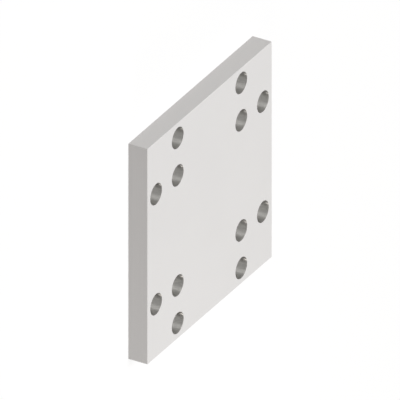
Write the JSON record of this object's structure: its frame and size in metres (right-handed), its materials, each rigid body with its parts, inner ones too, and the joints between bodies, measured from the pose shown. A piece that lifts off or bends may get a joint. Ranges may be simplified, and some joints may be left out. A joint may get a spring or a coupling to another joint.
{
  "type": "rectangular cover plate",
  "caption": "Flat square metal cover plate with an L of plain bolt holes in each corner, for closing or joining a bolted frame.",
  "frame": {"origin": "centre of the back face, the face that lies against the frame", "axes": "+Z is the outward normal of the front face; X and Y run along the plate's sides"},
  "size_m": [0.09, 0.09, 0.008],
  "materials": {
    "aluminium": "satin, clear anodised"
  },
  "bodies": {
    "root": {"cover_plate": "aluminium"}
  },
  "joints": []
}
